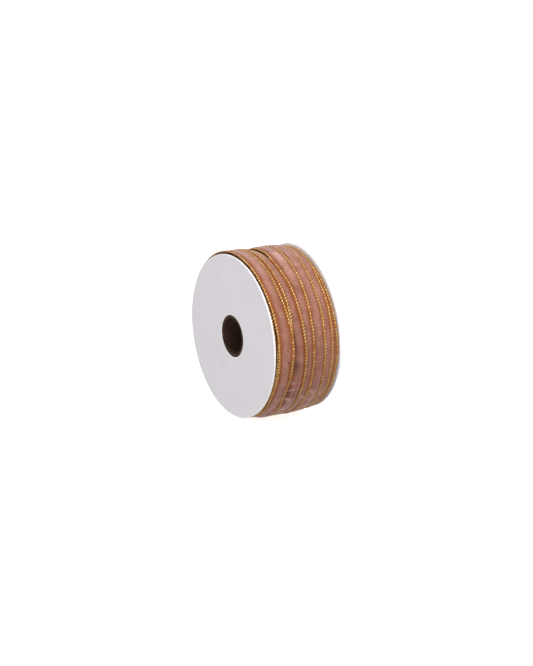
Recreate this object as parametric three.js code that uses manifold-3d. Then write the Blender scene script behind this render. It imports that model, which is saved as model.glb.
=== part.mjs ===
// Flanged ribbon spool, wound with a gold-edged velvet ribbon.
// Units are millimetres. +Y runs along the spin axis, +Z is up, and the origin is the spool's centre.
// The front flange is at -Y and the rear flange at +Y. Angles run from +Z towards +X about the Y axis.
import * as THREE from "three";
import { mergeVertices } from "three/addons/utils/BufferGeometryUtils.js";
import Module from "manifold-3d";

// ---- driving dimensions ------------------------------------------------------------------
const FLANGE_R = 50.0; // flange disc radius
const FLANGE_T = 1.3; // flange board thickness
const FLANGE_HOLE_R = 12.65; // hole that the core tube passes through
const SPOOL_W = 46.5; // outer face to outer face
const CORE_OUTER_R = 12.35; // core tube
const CORE_INNER_R = 10.9;
const CORE_RECESS = 0.4; // the core's ends sit this far below the flange faces
const CLEAR = 0.3; // gap between pieces that touch
const RIBBON_W = 10.0; // ribbon, gold edge to gold edge
const VELVET_T = 0.45; // pressed thickness of the velvet band
const EDGE_W = 1.3; // gold edge, across the ribbon
const EDGE_H = 0.9; // gold edge, through the ribbon
const PACK_R = 48.0; // wound ribbon under the outer layer
const SEGMENTS = 56; // facets round each ring

const HINGE_DEG = -38; // where the free tail lifts from
const TAIL_ROOT_DEG = -39;
const TAIL_END_DEG = -84;
const TURN_1_FROM_DEG = -37; // outermost turn, either side of the tail
const TURN_1_TO_DEG = 262;
const TAPE_FROM_DEG = -97;
const TAPE_TO_DEG = -77;

// Outer layer, one row for each turn from the last wound to the first: the rear edge's position
// along the axis, the radius of the velvet's face there, and the velvet's own path [y, radius].
const TURNS = [
  { rear: -11.6, edgeR: 51.1, path: [[-20.0, 51.1], [-13.2, 51.1]] },
  { rear: -9.0, edgeR: 50.6, path: [[-19.0, 50.05], [-11.8, 50.05], [-11.1, 50.6], [-10.6, 50.6]] },
  { rear: -1.7, edgeR: 50.4, path: [[-11.7, 49.3], [-9.0, 49.3], [-8.0, 50.4], [-3.3, 50.4]] },
  { rear: 4.7, edgeR: 51.3, path: [[-5.3, 49.4], [-1.5, 49.4], [0.3, 51.2], [1.5, 51.5], [3.1, 51.35]] },
  { rear: 12.4, edgeR: 50.8, path: [[2.4, 50.0], [4.9, 50.0], [5.8, 50.8], [10.8, 50.8]] },
  { rear: 17.9, edgeR: 50.3, path: [[7.9, 49.6], [12.6, 49.6], [13.4, 50.3], [16.3, 50.3]] },
  { rear: 21.2, edgeR: 49.75, path: [[11.2, 48.8], [13.0, 48.8], [13.8, 49.2], [18.1, 49.2], [18.7, 49.75], [19.6, 49.75]] },
];

// ---- materials ---------------------------------------------------------------------------
const paint = (color, roughness, metalness = 0) =>
  new THREE.MeshStandardMaterial({ color, roughness, metalness });
const BOARD = () => paint(0xe2e0e3, 0.62);
const KRAFT = () => paint(0x33231b, 0.85);
const GLUE = () => paint(0xd9cfae, 0.35);
const PAPER_TAPE = () => paint(0xd8c9a8, 0.7);
const CLEAR_TAPE = () => paint(0xe9e6df, 0.2);
const VELVET = () => paint(0xb4796a, 0.95);
const VELVET_DARK = () => paint(0x96604f, 0.95);
const GOLD = () => paint(0xcf9a4a, 0.35, 0.85);

// ---- geometry helpers --------------------------------------------------------------------
const wasm = await Module();
wasm.setup();
const rad = (deg) => (deg * Math.PI) / 180;

// A closed ring: the outline [y, radius] turned about the Y axis.
function ring(outline) {
  const area = outline.reduce((sum, [y, r], i) => {
    const [y2, r2] = outline[(i + 1) % outline.length];
    return sum + (y * r2 - y2 * r);
  }, 0);
  const loop = area > 0 ? [...outline].reverse() : [...outline];
  const points = [...loop, loop[0]].map(([y, r]) => new THREE.Vector2(r, y));
  return new THREE.LatheGeometry(points, SEGMENTS);
}

function toSolid(geometry) {
  const g = geometry.clone();
  g.deleteAttribute("normal");
  g.deleteAttribute("uv");
  const merged = mergeVertices(g, 1e-4);
  return new wasm.Manifold(
    new wasm.Mesh({
      numProp: 3,
      vertProperties: merged.attributes.position.array,
      triVerts: new Uint32Array(merged.index.array),
    }),
  );
}

function toGeometry(solid) {
  const mesh = solid.getMesh();
  const g = new THREE.BufferGeometry();
  g.setAttribute("position", new THREE.BufferAttribute(new Float32Array(mesh.vertProperties), 3));
  g.setIndex(new THREE.BufferAttribute(new Uint32Array(mesh.triVerts), 1));
  const flat = g.toNonIndexed();
  flat.computeVertexNormals();
  return flat;
}

// The part of a ring between two angles: a ring cut by a wedge that runs along the axis.
function arc(outline, fromDeg, toDeg) {
  const reach = 80;
  const steps = Math.max(2, Math.ceil(Math.abs(toDeg - fromDeg) / 30));
  const wedge = new THREE.Shape();
  wedge.moveTo(0, 0);
  for (let i = 0; i <= steps; i++) {
    const a = rad(fromDeg + ((toDeg - fromDeg) * i) / steps);
    wedge.lineTo(reach * Math.sin(a), reach * Math.cos(a));
  }
  wedge.closePath();
  const cutter = new THREE.ExtrudeGeometry(wedge, { depth: 80, bevelEnabled: false, steps: 1 });
  cutter.translate(0, 0, -40);
  // drawn in X and Z, so turn the extrusion from Z onto Y
  const m = new THREE.Matrix4().set(1, 0, 0, 0, 0, 0, -1, 0, 0, 1, 0, 0, 0, 0, 0, 1);
  cutter.applyMatrix4(m);
  return toGeometry(toSolid(ring(outline)).intersect(toSolid(cutter)));
}

// A band of constant thickness under a path of [y, radius].
function band(path, thickness) {
  return [...path, ...[...path].reverse().map(([y, r]) => [y, r - thickness])];
}

// A rounded bead section, centred on [y, r].
function bead(y, r) {
  const w = EDGE_W / 2;
  const h = EDGE_H / 2;
  return [
    [y - w, r],
    [y - w * 0.55, r + h],
    [y + w * 0.55, r + h],
    [y + w, r],
    [y + w * 0.55, r - h],
    [y - w * 0.55, r - h],
  ];
}

const spool = new THREE.Group();
spool.name = "ribbon_spool";
const tailPivot = new THREE.Group(); // the line that the free tail folds about
tailPivot.name = "ribbon_tail";
const HINGE_R = 50.88;
tailPivot.position.set(HINGE_R * Math.sin(rad(HINGE_DEG)), 0, HINGE_R * Math.cos(rad(HINGE_DEG)));
spool.add(tailPivot);

function add(name, geometry, material, group = spool) {
  const mesh = new THREE.Mesh(geometry, material);
  mesh.name = name;
  if (group === tailPivot) mesh.position.copy(tailPivot.position).negate();
  group.add(mesh);
  return mesh;
}

// ---- the empty spool ---------------------------------------------------------------------
const FACE = SPOOL_W / 2;
const INNER = FACE - FLANGE_T;
const EASE = 0.12; // die-cut corner
function flange(side) {
  const out = side * FACE;
  const inn = side * INNER;
  return ring([
    [out, FLANGE_HOLE_R],
    [out, FLANGE_R - EASE],
    [out - side * EASE, FLANGE_R],
    [inn + side * EASE, FLANGE_R],
    [inn, FLANGE_R - EASE],
    [inn, FLANGE_HOLE_R],
  ]);
}
add("front_flange", flange(-1), BOARD());
add("rear_flange", flange(1), BOARD());

const CORE_END = FACE - CORE_RECESS;
add(
  "core_tube",
  ring([
    [-CORE_END, CORE_INNER_R],
    [-CORE_END, CORE_OUTER_R],
    [CORE_END, CORE_OUTER_R],
    [CORE_END, CORE_INNER_R],
  ]),
  KRAFT(),
);

// glue fillets where each flange meets the core
function fillet(side) {
  const wall = side * (INNER - CLEAR);
  const bore = CORE_OUTER_R + CLEAR;
  return ring([
    [wall, bore],
    [wall, bore + 1.6],
    [wall - side * 0.7, bore + 0.6],
    [wall - side * 1.6, bore],
  ]);
}
add("front_glue_bead", fillet(-1), GLUE());
add("rear_glue_bead", fillet(1), GLUE());

// paper tape that holds the ribbon's inner end on the core
const START_TAPE_R = CORE_OUTER_R + CLEAR;
add(
  "start_tape",
  arc(
    [
      [-18, START_TAPE_R],
      [-18, START_TAPE_R + 0.35],
      [-6, START_TAPE_R + 0.35],
      [-6, START_TAPE_R],
    ],
    95,
    190,
  ),
  PAPER_TAPE(),
);

// ---- the wound ribbon --------------------------------------------------------------------
const PACK_Y = INNER - CLEAR - 0.1;
const PACK_BORE = START_TAPE_R + 0.35 + CLEAR;
add(
  "inner_winding",
  ring([
    [-PACK_Y, PACK_BORE + 1.7],
    [-PACK_Y, PACK_R - 0.4],
    [-PACK_Y + 0.4, PACK_R],
    [PACK_Y - 0.4, PACK_R],
    [PACK_Y, PACK_R - 0.4],
    [PACK_Y, PACK_BORE + 1.7],
    [PACK_Y - 1.9, PACK_BORE],
    [-PACK_Y + 1.9, PACK_BORE],
  ]),
  VELVET_DARK(),
);

TURNS.forEach(({ rear, edgeR, path }, i) => {
  const n = i + 1;
  const beadR = edgeR - VELVET_T / 2;
  const velvet = band(path, VELVET_T);
  const rearBead = bead(rear - EDGE_W / 2, beadR);
  if (n === 1) {
    const frontBead = bead(rear - RIBBON_W + EDGE_W / 2, beadR);
    add("velvet_turn_1", arc(velvet, TURN_1_FROM_DEG, TURN_1_TO_DEG), VELVET());
    add("gold_front_edge_turn_1", arc(frontBead, TURN_1_FROM_DEG, TURN_1_TO_DEG), GOLD());
    add("gold_rear_edge_turn_1", arc(rearBead, TURN_1_FROM_DEG, TURN_1_TO_DEG), GOLD());

    // the ribbon's free end, which lifts off the winding
    add("tail_velvet", arc(velvet, TAIL_END_DEG, TAIL_ROOT_DEG), VELVET(), tailPivot);
    add("tail_gold_front_edge", arc(frontBead, TAIL_END_DEG, TAIL_ROOT_DEG), GOLD(), tailPivot);
    add("tail_gold_rear_edge", arc(rearBead, TAIL_END_DEG, TAIL_ROOT_DEG), GOLD(), tailPivot);
    const under = edgeR + CLEAR;
    add(
      "end_tape",
      arc(
        [
          [-19.7, under],
          [-19.7, under + 0.2],
          [-13.5, under + 0.2],
          [-13.5, under],
        ],
        TAPE_FROM_DEG,
        TAPE_TO_DEG,
      ),
      CLEAR_TAPE(),
      tailPivot,
    );
  } else {
    add(`velvet_turn_${n}`, ring(velvet), VELVET());
    add(`gold_rear_edge_turn_${n}`, ring(rearBead), GOLD());
  }
});

export default spool;
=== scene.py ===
import math
import bpy
import numpy as np
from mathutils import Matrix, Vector


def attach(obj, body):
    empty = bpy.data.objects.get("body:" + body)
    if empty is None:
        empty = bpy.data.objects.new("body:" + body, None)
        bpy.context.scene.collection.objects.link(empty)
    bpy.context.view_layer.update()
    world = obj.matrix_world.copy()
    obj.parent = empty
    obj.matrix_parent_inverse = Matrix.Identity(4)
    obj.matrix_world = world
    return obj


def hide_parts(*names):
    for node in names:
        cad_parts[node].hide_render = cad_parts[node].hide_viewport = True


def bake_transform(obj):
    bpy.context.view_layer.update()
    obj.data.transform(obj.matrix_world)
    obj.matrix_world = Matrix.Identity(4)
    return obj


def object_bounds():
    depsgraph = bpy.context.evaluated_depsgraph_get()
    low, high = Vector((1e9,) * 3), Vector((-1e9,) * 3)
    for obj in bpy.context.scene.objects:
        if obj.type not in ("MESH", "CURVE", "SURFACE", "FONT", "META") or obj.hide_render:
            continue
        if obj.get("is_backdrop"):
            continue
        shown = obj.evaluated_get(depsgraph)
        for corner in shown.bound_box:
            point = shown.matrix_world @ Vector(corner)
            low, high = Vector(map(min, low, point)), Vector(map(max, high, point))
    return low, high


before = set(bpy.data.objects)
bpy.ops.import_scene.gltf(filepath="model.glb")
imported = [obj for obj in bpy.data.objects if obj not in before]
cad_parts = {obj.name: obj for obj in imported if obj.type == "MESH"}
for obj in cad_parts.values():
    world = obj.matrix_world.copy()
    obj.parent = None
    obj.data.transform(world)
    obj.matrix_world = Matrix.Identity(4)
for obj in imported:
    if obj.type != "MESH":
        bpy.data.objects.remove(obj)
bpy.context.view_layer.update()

MM = 0.001
RNG = np.random.default_rng(7)

# ------------------------------------------------------------------------------------------
# Dimensions in millimetres. +Y is the spin axis, angles run from +Z towards +X.
# ------------------------------------------------------------------------------------------
FLANGE_R = 50.0
FLANGE_T = 1.3
HALF_W = 23.25
INNER_Y = HALF_W - FLANGE_T
CORE_HOLE_R = 12.85
CORE_IN_R = 10.9
HALF_RIBBON = 5.08          # ribbon half width, to the outside of the gold
EDGE_C = 4.35               # centre of each gold edge from the ribbon's middle
EDGE_W, EDGE_H = 1.46, 1.02  # gold edge across and through
VELVET_T = 0.62
SEAM = -38.0                # where one turn hands over to the next, behind the top
TAIL_END = -84.0
STEP = 0.5                  # degrees between columns

# middle of each turn along the axis: (angle, y), from the last wound turn to the first
PATHS = [
    [(-38, -16.8), (-20, -16.8), (0, -16.8), (12, -16.85), (25, -16.8), (40, -16.75), (50, -16.5), (60, -16.15),
     (70, -15.9), (80, -15.72), (90, -15.7), (100, -15.85), (110, -16.0), (118, -16.15), (127, -16.2), (133, -15.95),
     (140, -15.5), (150, -14.9), (160, -14.6), (200, -14.7), (240, -14.75), (280, -14.6), (322, -14.5)],
    [(-38, -14.5), (-20, -14.5), (0, -14.3), (12, -14.1), (30, -14.05), (50, -13.95), (60, -14.2), (70, -14.7),
     (80, -15.4), (90, -16.1), (100, -16.45), (130, -16.55), (160, -16.2), (200, -14.4), (240, -12.2), (280, -10.4),
     (322, -9.4)],
    [(-38, -9.4), (-20, -9.4), (4, -9.0), (12, -8.45), (22, -8.1), (31, -7.85), (41, -7.45), (50, -7.3), (60, -7.2),
     (70, -7.0), (80, -6.7), (90, -6.3), (100, -6.15), (108, -6.0), (116, -5.9), (125, -6.05), (135, -6.2),
     (160, -6.9), (200, -6.4), (240, -3.6), (280, 0.4), (322, 3.2)],
    [(-38, 3.2), (-20, 3.0), (-5, 2.5), (3, 2.15), (10, 1.7), (16, 1.25), (24, 0.95), (36, 0.7), (44, 0.4),
     (52, -0.05), (61, -0.4), (70, -0.7), (81, -0.6), (90, -0.65), (105, -0.75), (119, -0.6), (131, -0.85),
     (139, -1.05), (160, -1.6), (200, 0.2), (240, 4.6), (280, 9.2), (322, 11.1)],
    [(-38, 11.1), (-20, 11.0), (0, 10.8), (8, 10.4), (14, 9.8), (20, 9.1), (27, 8.45), (34, 8.0), (41, 7.75),
     (48, 7.6), (58, 7.55), (68, 7.3), (80, 7.0), (88, 7.1), (103, 7.2), (118, 7.45), (132, 7.85), (140, 8.15),
     (160, 8.4), (200, 9.8), (240, 12.6), (280, 15.3), (322, 16.3)],
    [(-38, 16.3), (-20, 16.2), (5, 16.0), (15, 15.7), (22, 15.3), (30, 14.5), (38, 13.6), (48, 13.3), (58, 13.3),
     (68, 12.9), (81, 12.75), (96, 12.65), (110, 12.6), (118, 12.85), (128, 12.65), (160, 13.0), (200, 14.2),
     (240, 15.6), (280, 16.5), (322, 16.7)],
    [(-38, 16.7), (-20, 16.7), (15, 16.1), (22, 16.0), (34, 15.8), (43, 15.8), (50, 16.1), (58, 16.3), (75, 16.35),
     (90, 16.5), (96, 16.55), (103, 16.35), (110, 16.0), (118, 16.15), (128, 16.0), (160, 16.2), (200, 16.5),
     (240, 16.6), (280, 16.4), (322, 16.0)],
    [(-38, 16.0), (0, 15.0), (60, 12.0), (120, 9.0), (200, 5.0), (322, -2.0)],
]
TURNS = 7


def smooth_curve(points, x):
    """A monotone cubic through the points, so that a turn drifts without kinks."""
    px = np.array([p[0] for p in points], float)
    py = np.array([p[1] for p in points], float)
    h, d = np.diff(px), np.diff(py) / np.diff(px)
    m = np.zeros_like(py)
    m[0], m[-1] = d[0], d[-1]
    for i in range(1, len(px) - 1):
        if d[i - 1] * d[i] > 0:
            w1, w2 = 2 * h[i] + h[i - 1], h[i] + 2 * h[i - 1]
            m[i] = (w1 + w2) / (w1 / d[i - 1] + w2 / d[i])
    i = np.clip(np.searchsorted(px, x) - 1, 0, len(px) - 2)
    t = (x - px[i]) / h[i]
    return ((1 + 2 * t) * (1 - t) ** 2 * py[i] + t * (1 - t) ** 2 * h[i] * m[i]
            + t * t * (3 - 2 * t) * py[i + 1] + t * t * (t - 1) * h[i] * m[i + 1])


def smoothstep(a, b, x):
    t = np.clip((x - a) / (b - a), 0, 1)
    return t * t * (3 - 2 * t)


def ang(a, centre, width):
    """A bump round the drum, in degrees."""
    d = (a - centre + 180) % 360 - 180
    return np.exp(-0.5 * (d / width) ** 2)


def hash_noise(seed):
    """Smooth periodic noise round the drum and along the axis, from a few seeded waves."""
    r = np.random.default_rng(seed)
    k = r.integers(1, 9, 14)
    f = r.uniform(-0.9, 0.9, 14)
    ph = r.uniform(0, 2 * np.pi, 14)
    a = r.normal(0, 1, 14) / np.sqrt(k + 4 * np.abs(f))

    def value(deg, y):
        out = 0.0
        for i in range(14):
            out = out + a[i] * np.sin(k[i] * np.radians(deg) + f[i] * y + ph[i])
        return out / 3.0
    return value


# outside of the winding along the axis, where it turns out of sight above and below
TOP_ANGLE, LOW_ANGLE = -18.7, 158.7
TOP_R = [(-22.6, 51.3), (-20, 51.35), (-17, 51.1), (-9, 50.9), (-7.6, 50.4), (-6.5, 49.7), (-4.5, 49.0),
         (-2.5, 49.5), (-1, 50.2), (1.5, 50.45), (4, 50.35), (9.5, 50.3), (12, 49.6), (13, 49.2), (16, 48.8),
         (17, 48.6), (19, 48.5), (22.6, 48.4)]
LOW_R = [(-22.6, 49.6), (-20.3, 49.7), (-19, 49.9), (-15, 50.1), (-12.6, 50.4), (-10, 50.7), (-6, 50.9),
         (-4, 51.1), (-0.7, 50.85), (2.5, 51.05), (6, 50.8), (8.6, 50.95), (11, 50.8), (12.7, 50.5), (15.4, 50.3),
         (16.8, 50.3), (18.2, 50.25), (19.6, 50.1), (22.6, 49.95)]


def outer_radius(a, y):
    """The winding's outside radius, blended round the drum between the two known sections."""
    top = np.interp(y, *zip(*TOP_R))
    low = np.interp(y, *zip(*LOW_R))
    d = np.abs((a - TOP_ANGLE + 180) % 360 - 180) / 180.0
    w = smoothstep(0.0, 1.0, d)
    return top * (1 - w) + low * w - 0.75 * ang(a, 50, 34) * smoothstep(14.5, 18.5, y)


def blur(field, reach, axis, wrap=False):
    k = np.exp(-0.5 * (np.arange(-3 * reach, 3 * reach + 1) / reach) ** 2)
    k /= k.sum()
    n = len(k) // 2
    pad = [(0, 0), (0, 0)]
    pad[axis] = (n, n)
    f = np.pad(field, pad, mode="wrap" if wrap else "edge")
    out = 0
    size = field.shape[axis]
    for i, w in enumerate(k):
        out = out + w * (f[i:i + size] if axis == 0 else f[:, i:i + size])
    return out


# ------------------------------------------------------------------------------------------
# Lay the ribbon on the pack, turn by turn, column by column
# ------------------------------------------------------------------------------------------
COLS = np.arange(SEAM, SEAM + 360.0 + 1e-6, STEP)
YG = np.arange(-22.6, 22.61, 0.1)
U = np.linspace(-HALF_RIBBON, HALF_RIBBON, 103)
STIFF = 0.16                # how slowly the ribbon drops off what is under it
DROP = STIFF * (U[:, None] - U[None, :]) ** 2


def section(u):
    """Thickness of the ribbon across its width: pressed velvet with a raised gold edge each side."""
    edge = np.clip(1 - ((np.abs(u) - EDGE_C) / (EDGE_W / 2)) ** 2, 0, 1) ** 0.5
    velvet = VELVET_T * (1 - 0.25 * smoothstep(2.6, 3.8, np.abs(u))) * (np.abs(u) < EDGE_C)
    return np.maximum(velvet, 0.30 + (EDGE_H - 0.30) * edge)


def lay(cols, centre, height, weight=1.0):
    """Rests one pass of the ribbon on the surface. Returns its underside, and raises the surface."""
    under = np.empty((len(cols), len(U)))
    for i in range(len(cols)):
        h = np.interp(centre[i] + U, YG, height[i])
        under[i] = (h[None, :] - DROP).max(1)
    t = section(U)
    for i in range(len(cols)):
        w = weight if np.isscalar(weight) else weight[i]
        top = np.interp(YG - centre[i], U, under[i] + t * w, left=0, right=0)
        height[i] = np.maximum(height[i], top)
    return under


def wind(cols, pack_surface):
    """Lays every turn on the pack, the first wound first. Returns each pass and the finished surface."""
    height = pack_surface.copy()
    fade = 1 - smoothstep(-38, 200, cols)
    made = {}
    for n in range(TURNS + 1, 0, -1):
        c = smooth_curve(PATHS[n - 1], cols)
        made[n] = (c, lay(cols, c, height, fade if n == TURNS + 1 else 1.0))
    return made, height


# The pack gives way under the laps: it is trimmed until the outside comes to its known radius
COARSE = np.arange(SEAM, SEAM + 360.0 + 1e-6, 5.0)
WANT = outer_radius(COARSE[:, None], YG[None, :])
trim = WANT - 1.1
for _ in range(9):
    _, got = wind(COARSE, trim)
    near = np.maximum.reduce([np.roll(got, k, 1) for k in range(-7, 8)])
    trim = trim + 0.7 * blur(blur(np.clip(WANT - near, -0.8, 0.8), 7, 1), 1, 0)
    trim = np.clip(trim, WANT - 3.4, WANT - 0.7)
PACK = np.stack([np.interp(COLS, COARSE, trim[:, j]) for j in range(len(YG))], 1)
PACK += 0.06 * hash_noise(3)(COLS[:, None], YG[None, :])
passes, H = wind(COLS, PACK)
for n in range(1, TURNS):
    step = passes[n + 1][1][0] - passes[n][1][-1]
    reach = smoothstep(292, 322, COLS)[:, None]
    passes[n] = (passes[n][0], passes[n][1] + 0.5 * step[None, :] * reach)
    reach = (1 - smoothstep(-38, -8, COLS))[:, None]
    passes[n + 1] = (passes[n + 1][0], passes[n + 1][1] - 0.5 * step[None, :] * reach)
tail_cols = COLS[COLS >= TAIL_END + 360 - 1e-6]
tail_first = len(COLS) - len(tail_cols)
TAIL_C = np.full(len(tail_cols), -16.8)
tail_under = lay(tail_cols, TAIL_C, H[tail_first:])


def pack_radius(a, y):
    """The trimmed pack at a column of angles and a row of places along the axis."""
    out = np.stack([np.interp(y.ravel(), YG, row) for row in PACK])
    a = (a.ravel() - SEAM) % 360 + SEAM
    return np.stack([np.interp(a, COLS, out[:, j]) for j in range(out.shape[1])], 1)


# ------------------------------------------------------------------------------------------
# Mesh helpers
# ------------------------------------------------------------------------------------------
def place(a_deg, r, y):
    a = np.radians(a_deg)
    return np.stack(np.broadcast_arrays(r * np.sin(a), y, r * np.cos(a)), -1)


def make_object(name, verts, faces, attributes=None, smooth=True):
    """verts in mm, faces as a list of arrays of quads or triangles."""
    me = bpy.data.meshes.new(name)
    verts = np.asarray(verts, float).reshape(-1, 3)
    faces = [np.asarray(f, np.int32) for f in faces if len(f)]
    me.vertices.add(len(verts))
    me.vertices.foreach_set("co", (verts * MM).astype(np.float32).ravel())
    loops = np.concatenate([f.ravel() for f in faces])
    totals = np.concatenate([np.full(len(f), f.shape[1], np.int32) for f in faces])
    me.loops.add(len(loops))
    me.loops.foreach_set("vertex_index", loops)
    me.polygons.add(len(totals))
    starts = np.concatenate([[0], np.cumsum(totals)[:-1]]).astype(np.int32)
    me.polygons.foreach_set("loop_start", starts)
    me.polygons.foreach_set("use_smooth", np.full(len(totals), smooth))
    me.update(calc_edges=True)
    for key, values in (attributes or {}).items():
        values = np.asarray(values, np.float32)
        if values.ndim == 1:
            me.attributes.new(key, "FLOAT", "POINT").data.foreach_set("value", values)
        else:
            me.attributes.new(key, "FLOAT_VECTOR", "POINT").data.foreach_set("vector", values.ravel())
    me.validate()
    obj = bpy.data.objects.new(name, me)
    bpy.context.scene.collection.objects.link(obj)
    return obj


def grid_faces(rows, cols, closed_rows=False, closed_cols=False, offset=0, flip=False):
    r = np.arange(rows if closed_rows else rows - 1)
    c = np.arange(cols if closed_cols else cols - 1)
    R, C = np.meshgrid(r, c, indexing="ij")
    R2, C2 = (R + 1) % rows, (C + 1) % cols
    f = np.stack([R * cols + C, R2 * cols + C, R2 * cols + C2, R * cols + C2], -1).reshape(-1, 4) + offset
    return f[:, ::-1] if flip else f


def sharpen(obj, degrees=40):
    """Marks sharp edges by angle, so that smooth shading keeps cut corners."""
    me = obj.data
    me.update()
    import bmesh
    bm = bmesh.new()
    bm.from_mesh(me)
    limit = math.radians(degrees)
    for e in bm.edges:
        if len(e.link_faces) == 2 and e.calc_face_angle(0) > limit:
            e.smooth = False
    bm.to_mesh(me)
    bm.free()


# ------------------------------------------------------------------------------------------
# Materials
# ------------------------------------------------------------------------------------------
class Nodes:
    def __init__(self, name):
        self.mat = bpy.data.materials.new(name)
        self.mat.use_nodes = True
        self.tree = self.mat.node_tree
        self.tree.nodes.clear()
        self.out = self.add("ShaderNodeOutputMaterial")
        self.bsdf = self.add("ShaderNodeBsdfPrincipled")
        self.link(self.bsdf.outputs[0], self.out.inputs[0])

    def add(self, kind, **props):
        n = self.tree.nodes.new(kind)
        for k, v in props.items():
            setattr(n, k, v)
        return n

    def link(self, a, b):
        self.tree.links.new(a, b)

    def put(self, socket, value):
        if hasattr(value, "is_output") or isinstance(value, bpy.types.NodeSocket):
            self.link(value, socket)
        else:
            socket.default_value = value

    def math(self, op, a, b=None, c=None, clamp=False):
        n = self.add("ShaderNodeMath", operation=op, use_clamp=clamp)
        self.put(n.inputs[0], a)
        if b is not None:
            self.put(n.inputs[1], b)
        if c is not None:
            self.put(n.inputs[2], c)
        return n.outputs[0]

    def ramp(self, value, lo, hi, out_lo=0.0, out_hi=1.0, smooth=True):
        n = self.add("ShaderNodeMapRange", interpolation_type="SMOOTHSTEP" if smooth else "LINEAR", clamp=True)
        self.put(n.inputs[0], value)
        for i, v in enumerate((lo, hi, out_lo, out_hi)):
            self.put(n.inputs[i + 1], v)
        return n.outputs[0]

    def mix(self, factor, a, b, blend="MIX"):
        n = self.add("ShaderNodeMix", data_type="RGBA", blend_type=blend, clamp_factor=True)
        self.put(n.inputs[0], factor)
        self.put(n.inputs[6], a)
        self.put(n.inputs[7], b)
        return n.outputs[2]

    def attribute(self, name):
        return self.add("ShaderNodeAttribute", attribute_type="GEOMETRY", attribute_name=name)

    def scaled(self, vector, scale):
        n = self.add("ShaderNodeMapping")
        self.link(vector, n.inputs[0])
        n.inputs["Scale"].default_value = scale
        return n.outputs[0]

    def noise(self, vector, scale, detail=3, rough=0.55, distort=0.0):
        n = self.add("ShaderNodeTexNoise")
        self.link(vector, n.inputs["Vector"])
        n.inputs["Scale"].default_value = scale
        n.inputs["Detail"].default_value = detail
        n.inputs["Roughness"].default_value = rough
        n.inputs["Distortion"].default_value = distort
        return n.outputs[0]

    def voronoi(self, vector, scale, feature="F1"):
        n = self.add("ShaderNodeTexVoronoi", feature=feature)
        self.link(vector, n.inputs["Vector"])
        n.inputs["Scale"].default_value = scale
        return n

    def bump(self, height, strength, distance, normal=None):
        n = self.add("ShaderNodeBump")
        n.inputs["Strength"].default_value = strength
        n.inputs["Distance"].default_value = distance
        self.put(n.inputs["Height"], height)
        if normal is not None:
            self.link(normal, n.inputs["Normal"])
        return n.outputs[0]


def srgb(r, g, b):
    def f(c):
        c /= 255
        return c / 12.92 if c <= 0.04045 else ((c + 0.055) / 1.055) ** 2.4
    return (f(r), f(g), f(b), 1.0)


def velvet_material(name, shaded_copy=False):
    m = Nodes(name)
    a = m.attribute("ribbon")            # (along, across, turn) in mm
    v = a.outputs["Vector"]
    sep = m.add("ShaderNodeSeparateXYZ")
    m.link(v, sep.inputs[0])
    across = m.math("ABSOLUTE", sep.outputs[1])
    lay_noise = m.noise(m.scaled(v, (0.15, 0.24, 1.0)), 1.0, 4, 0.55, 0.6)       # pile brushed this way and that
    patch = m.noise(m.scaled(v, (0.62, 0.46, 1.0)), 1.0, 4, 0.62, 0.5)
    brush = m.noise(m.scaled(v, (1.15, 0.22, 1.0)), 1.0, 3, 0.55, 0.3)           # marks across, from the winding
    pile = m.noise(m.scaled(v, (5.0, 5.0, 1.0)), 1.0, 2, 0.6)
    tuft = m.noise(m.scaled(v, (1.9, 2.3, 1.0)), 1.0, 3, 0.6)
    # painted shade: a darker copy of the velvet, with less sheen, for the lower layers seen only in the gaps
    if shaded_copy:
        dark, mid, light, selvage = srgb(78, 44, 34), srgb(104, 62, 50), srgb(124, 78, 66), srgb(92, 50, 24)
    else:
        dark, mid, light, selvage = srgb(122, 75, 58), srgb(149, 98, 80), srgb(182, 133, 115), srgb(140, 76, 36)
    base = m.mix(m.ramp(lay_noise, 0.32, 0.68), dark, light)
    base = m.mix(0.55, base, mid)
    # painted highlight: the middle of each strip, where the pile stands fuller, is painted lighter
    base = m.mix(m.ramp(across, 0.2, 3.4, 0.30, 0.0), base, light)
    base = m.mix(m.ramp(patch, 0.36, 0.66, 0.0, 0.40), base, dark)
    base = m.mix(m.ramp(brush, 0.48, 0.74, 0.0, 0.26), base, light)
    base = m.mix(m.ramp(tuft, 0.38, 0.70, 0.0, 0.18), base, light)
    base = m.mix(m.ramp(pile, 0.30, 0.70, 0.16, 0.0), base, dark)
    # the selvage beside each gold edge, where the pile thins to the ground cloth
    wobble = m.math("MULTIPLY_ADD", tuft, 1.1, -0.55)
    border = m.ramp(m.math("ADD", across, wobble), 1.2, 3.7)
    base = m.mix(m.math("MULTIPLY", border, 0.94), base, selvage)
    # painted shade, partly crushed pile: darker in creases, beside the border lying over each turn and on the underside
    crush_and_painted_shade = m.attribute("crush_and_painted_shade")
    base = m.mix(m.math("MULTIPLY", crush_and_painted_shade.outputs["Fac"], 0.80, clamp=True), base, srgb(84, 42, 32))
    # painted highlight: paler pink on crease crests and on patches where the sheen shows brightest
    painted_highlight = m.attribute("painted_highlight")
    base = m.mix(m.math("MULTIPLY", painted_highlight.outputs["Fac"], 0.60, clamp=True), base, srgb(216, 172, 160))
    m.link(base, m.bsdf.inputs["Base Color"])
    m.link(m.ramp(patch, 0.3, 0.7, 0.78, 0.95), m.bsdf.inputs["Roughness"])
    m.bsdf.inputs["Sheen Weight"].default_value = 0.15 if shaded_copy else 0.80
    m.bsdf.inputs["Sheen Roughness"].default_value = 0.36
    m.bsdf.inputs["Sheen Tint"].default_value = (1.0, 0.86, 0.82, 1.0)
    m.bsdf.inputs["Specular IOR Level"].default_value = 0.12
    n = m.bump(tuft, 0.55, 0.00030)
    n = m.bump(pile, 0.6, 0.00014, n)
    m.link(n, m.bsdf.inputs["Normal"])
    return m.mat


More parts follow.
